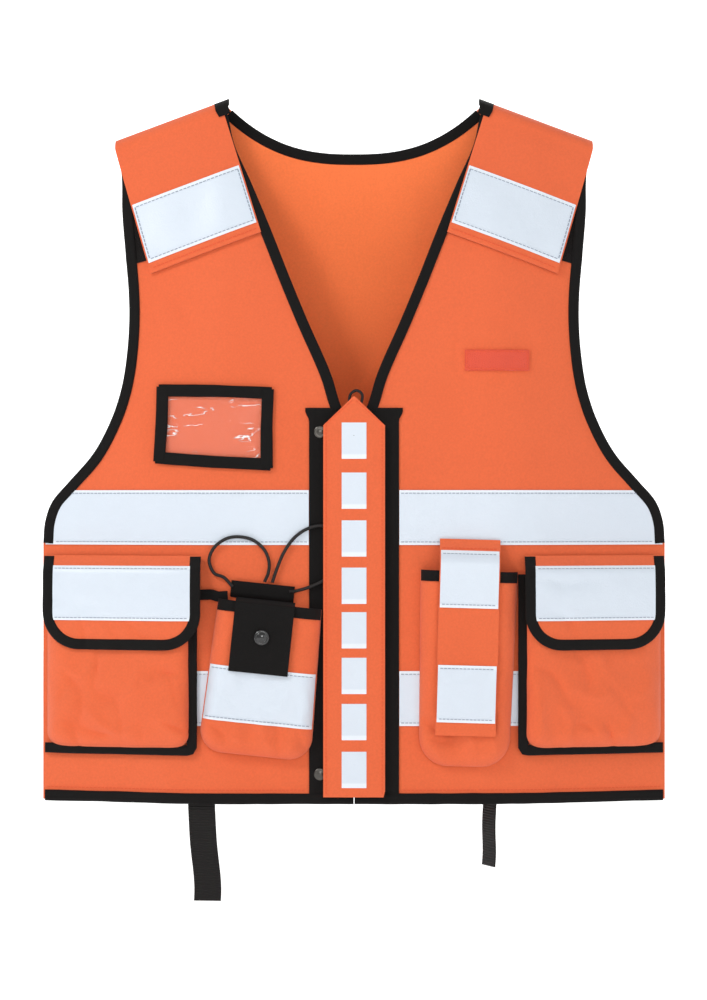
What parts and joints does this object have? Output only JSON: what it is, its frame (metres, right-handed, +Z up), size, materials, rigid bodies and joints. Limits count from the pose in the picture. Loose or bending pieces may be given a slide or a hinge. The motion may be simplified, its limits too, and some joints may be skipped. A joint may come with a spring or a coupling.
{
  "type": "safety vest",
  "caption": "Blaze orange field vest with black binding, reflective tape, flapped cargo pockets, radio and torch pockets, a centre zip under a band, and hook-and-loop shoulder flaps.",
  "frame": {"origin": "midway between the two shoulder peaks, where the vest hangs", "axes": "+Z up, +X towards the wearer's left, -Y out of the front"},
  "size_m": [0.579, 0.0948, 0.7361],
  "materials": {
    "orange_cloth": "plain-woven polyester, blaze orange",
    "inner_orange": "inner face of the woven polyester",
    "name_patch": "hook-and-loop pile, redder orange",
    "black_binding": "folded woven tape",
    "black_loop": "brushed loop pile",
    "black_webbing": "ribbed polypropylene webbing",
    "elastic_cord": "braided elastic cord",
    "reflective_tape": "silver-white retroreflective tape",
    "zip_plastic": "satin",
    "stud_plastic": "glossy",
    "stud_metal": "dark nickel",
    "clear_vinyl": "clear soft vinyl"
  },
  "bodies": {
    "back": {"back_panel": "inner_orange", "back_neck_binding": "black_binding", "back_armhole_binding_left": "black_binding", "back_armhole_binding_right": "black_binding", "back_hem_binding": "black_binding", "back_chest_tape": "reflective_tape", "back_waist_tape": "reflective_tape", "yoke_left": "black_loop", "yoke_right": "black_loop"},
    "shoulder_flap_left": {"shoulder_flap_left": "orange_cloth", "shoulder_patch_left": "reflective_tape"},
    "front_left": {"front_panel_left": "orange_cloth", "neck_binding_left": "black_binding", "armhole_binding_left": "black_binding", "hem_binding_left": "black_binding", "chest_tape_left": "reflective_tape", "waist_tape_left": "reflective_tape", "placket_left": "black_binding", "zip_coil_left": "zip_plastic", "cargo_pocket_left": "orange_cloth", "webbing_tail_left": "black_webbing", "torch_pocket": "orange_cloth", "torch_pocket_binding": "black_binding", "name_patch": "name_patch"},
    "cargo_flap_left": {"cargo_flap_left": "orange_cloth", "cargo_flap_binding_left": "black_binding", "cargo_flap_tape_left": "reflective_tape"},
    "shoulder_flap_right": {"shoulder_flap_right": "orange_cloth", "shoulder_patch_right": "reflective_tape"},
    "front_right": {"front_panel_right": "orange_cloth", "neck_binding_right": "black_binding", "armhole_binding_right": "black_binding", "hem_binding_right": "black_binding", "chest_tape_right": "reflective_tape", "waist_tape_right": "reflective_tape", "placket_right": "black_binding", "zip_coil_right": "zip_plastic", "cargo_pocket_right": "orange_cloth", "webbing_tail_right": "black_webbing", "radio_pocket": "orange_cloth", "radio_pocket_binding": "black_binding", "radio_pocket_tape": "reflective_tape", "radio_tab_base": "black_webbing", "radio_cord_loop": "elastic_cord", "band_cord_loop": "elastic_cord", "id_holder_frame": "black_binding", "id_holder_window": "clear_vinyl", "band_stud_upper": "stud_metal", "band_stud_lower": "stud_metal"},
    "cargo_flap_right": {"cargo_flap_right": "orange_cloth", "cargo_flap_binding_right": "black_binding", "cargo_flap_tape_right": "reflective_tape"},
    "torch_flap": {"torch_flap": "orange_cloth", "torch_flap_tape_upper": "reflective_tape", "torch_flap_tape_lower": "reflective_tape"},
    "radio_tab": {"radio_tab": "black_webbing", "radio_tab_stud": "stud_plastic"},
    "centre_band": {"centre_band": "orange_cloth"},
    "zip_slider": {"zip_slider": "zip_plastic", "zip_pull_cord": "elastic_cord"}
  },
  "joints": [
    {"name": "front_left_swing", "type": "hinge", "parent": "back", "child": "front_left", "pos_m": [0.2868, 0, -0.4], "axis": [0, 0, 1], "range_deg": [0, 30]},
    {"name": "front_right_swing", "type": "hinge", "parent": "back", "child": "front_right", "pos_m": [-0.2868, 0, -0.4], "axis": [0, 0, -1], "range_deg": [0, 30]},
    {"name": "shoulder_flap_left_lift", "type": "hinge", "parent": "back", "child": "shoulder_flap_left", "pos_m": [0.118, 0.0088, 0.001], "axis": [-0.9379, 0, 0.347], "range_deg": [0, 140]},
    {"name": "shoulder_flap_right_lift", "type": "hinge", "parent": "back", "child": "shoulder_flap_right", "pos_m": [-0.118, 0.0088, 0.001], "axis": [-0.9379, 0, -0.347], "range_deg": [0, 140]},
    {"name": "cargo_flap_left_lift", "type": "hinge", "parent": "front_left", "child": "cargo_flap_left", "pos_m": [0.22043, -0.02063, -0.414], "axis": [-0.9655, -0.2602, 0], "range_deg": [0, 120]},
    {"name": "cargo_flap_right_lift", "type": "hinge", "parent": "front_right", "child": "cargo_flap_right", "pos_m": [-0.21718, -0.02151, -0.414], "axis": [-0.9655, 0.2602, 0], "range_deg": [0, 120]},
    {"name": "torch_flap_lift", "type": "hinge", "parent": "front_left", "child": "torch_flap", "pos_m": [0.10587, -0.0406, -0.39901], "axis": [-0.9996, 0, 0.0279], "range_deg": [0, 120]},
    {"name": "radio_tab_lift", "type": "hinge", "parent": "front_right", "child": "radio_tab", "pos_m": [-0.08018, -0.0444, -0.4558], "axis": [-0.9945, 0, 0.1045], "range_deg": [0, 88]},
    {"name": "centre_band_open", "type": "hinge", "parent": "front_left", "child": "centre_band", "pos_m": [0.028, -0.0422, -0.45], "axis": [0, 0, 1], "range_deg": [0, 110]},
    {"name": "zip_slide", "type": "slide", "parent": "front_left", "child": "zip_slider", "axis": [0, 0, -1], "range_m": [0, 0.31]}
  ],
  "couplings": [
    {"joint": "front_right_swing", "follows": "front_left_swing", "ratio": 1}
  ]
}
